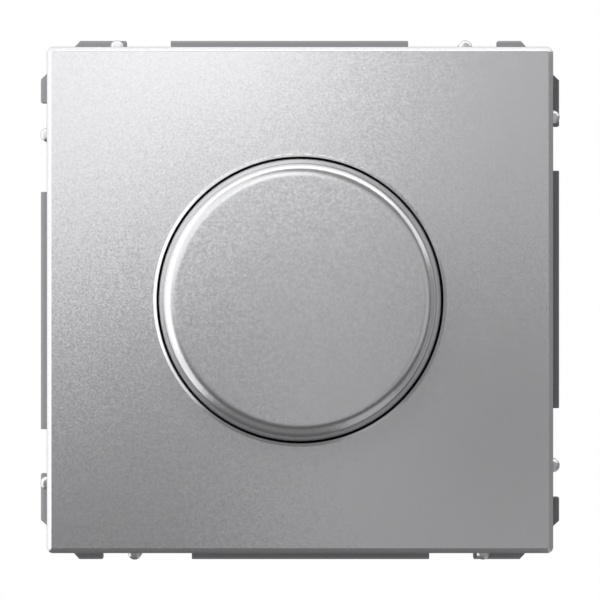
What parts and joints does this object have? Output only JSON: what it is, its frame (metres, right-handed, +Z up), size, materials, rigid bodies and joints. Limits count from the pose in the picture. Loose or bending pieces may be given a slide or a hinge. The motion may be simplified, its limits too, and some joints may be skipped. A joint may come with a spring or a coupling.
{
  "type": "rotary dimmer switch",
  "caption": "Square satin silver rotary dimmer module with a round push-and-turn knob, snap-in skirt, and a vented electronics housing with screw terminals behind.",
  "frame": {"origin": "on the knob's axis, in the plane of the skirt's rear rim where the module seats", "axes": "the front faces -Y, +Y points into the wall, +Z is up, +X is right as seen from the front"},
  "size_m": [0.0564, 0.0465, 0.0564],
  "materials": {
    "satin_silver": "satin metallic coat with a very fine grain",
    "grey_plastic": "moulded",
    "light_plastic": "moulded",
    "black_plastic": "moulded",
    "block_plastic": "moulded",
    "zinc_steel": "zinc plated",
    "brass": "plain",
    "nickel": "nickel plated",
    "track_laminate": "pressed laminate",
    "board_laminate": "lacquered laminate",
    "resistor_coat": "baked coat with coloured rings",
    "pad_rubber": "soft",
    "ferrite": "pressed",
    "winding_copper": "enamelled copper wire",
    "capacitor_plastic": "moulded",
    "capacitor_can": "sleeved can",
    "fuse_tube_glass": "clear"
  },
  "bodies": {
    "root": {"front_plate": "satin_silver", "rear_housing": "grey_plastic", "switch_case": "black_plastic", "control_chip": "black_plastic", "triac": "black_plastic", "terminal_block": "block_plastic", "chassis_plate": "zinc_steel", "pot_case": "zinc_steel", "housing_screws": "zinc_steel", "triac_screw": "zinc_steel", "lock_washer": "zinc_steel", "return_spring": "zinc_steel", "plate_nut": "brass", "pot_bushing": "brass", "bus_bars": "brass", "fixed_contacts": "brass", "pot_legs": "brass", "fuse_clips": "brass", "fuse_caps": "nickel", "track_disc": "track_laminate", "switch_base": "track_laminate", "circuit_board": "board_laminate", "resistors": "resistor_coat", "insulating_pad": "pad_rubber", "choke_core": "ferrite", "choke_winding": "winding_copper", "film_capacitor": "capacitor_plastic", "smoothing_capacitor": "capacitor_can", "fuse_glass": "fuse_tube_glass"},
    "rotor": {"wiper_carrier": "light_plastic", "wiper_contact": "brass"},
    "knob": {"knob_cap": "satin_silver", "knob_core": "light_plastic", "hub_clip": "zinc_steel", "spindle": "zinc_steel", "spindle_clip": "zinc_steel"},
    "plunger": {"switch_plunger": "light_plastic", "contact_bridge": "brass"},
    "screw_1": {"terminal_screw_1": "zinc_steel"},
    "cage_1": {"clamp_cage_1": "zinc_steel"},
    "screw_2": {"terminal_screw_2": "zinc_steel"},
    "cage_2": {"clamp_cage_2": "zinc_steel"},
    "screw_3": {"terminal_screw_3": "zinc_steel"},
    "cage_3": {"clamp_cage_3": "zinc_steel"}
  },
  "joints": [
    {"name": "knob_turn", "type": "hinge", "parent": "root", "child": "rotor", "pos_m": [0, 0, 0], "axis": [0, 1, 0], "range_deg": [-135, 135]},
    {"name": "knob_push", "type": "slide", "parent": "rotor", "child": "knob", "axis": [0, 1, 0], "range_m": [0, 0.0012], "stiffness_N_per_m": 1500},
    {"name": "plunger_travel", "type": "slide", "parent": "root", "child": "plunger", "axis": [0, 1, 0], "range_m": [0, 0.0012], "deforming": ["return_spring"]},
    {"name": "terminal_turn_1", "type": "hinge", "parent": "root", "child": "screw_1", "pos_m": [-0.007, 0.02153, -0.02], "axis": [0, 0, 1], "range_deg": [0, 1440]},
    {"name": "clamp_travel_1", "type": "slide", "parent": "root", "child": "cage_1", "axis": [0, 0, -1], "range_m": [0, 0.002]},
    {"name": "terminal_turn_2", "type": "hinge", "parent": "root", "child": "screw_2", "pos_m": [0, 0.02153, -0.02], "axis": [0, 0, 1], "range_deg": [0, 1440]},
    {"name": "clamp_travel_2", "type": "slide", "parent": "root", "child": "cage_2", "axis": [0, 0, -1], "range_m": [0, 0.002]},
    {"name": "terminal_turn_3", "type": "hinge", "parent": "root", "child": "screw_3", "pos_m": [0.007, 0.02153, -0.02], "axis": [0, 0, 1], "range_deg": [0, 1440]},
    {"name": "clamp_travel_3", "type": "slide", "parent": "root", "child": "cage_3", "axis": [0, 0, -1], "range_m": [0, 0.002]}
  ],
  "couplings": [
    {"joint": "plunger_travel", "follows": "knob_push", "ratio": 1},
    {"joint": "terminal_turn_1", "follows": "clamp_travel_1", "rad_per_m": 12566},
    {"joint": "terminal_turn_2", "follows": "clamp_travel_2", "rad_per_m": 12566},
    {"joint": "terminal_turn_3", "follows": "clamp_travel_3", "rad_per_m": 12566}
  ]
}
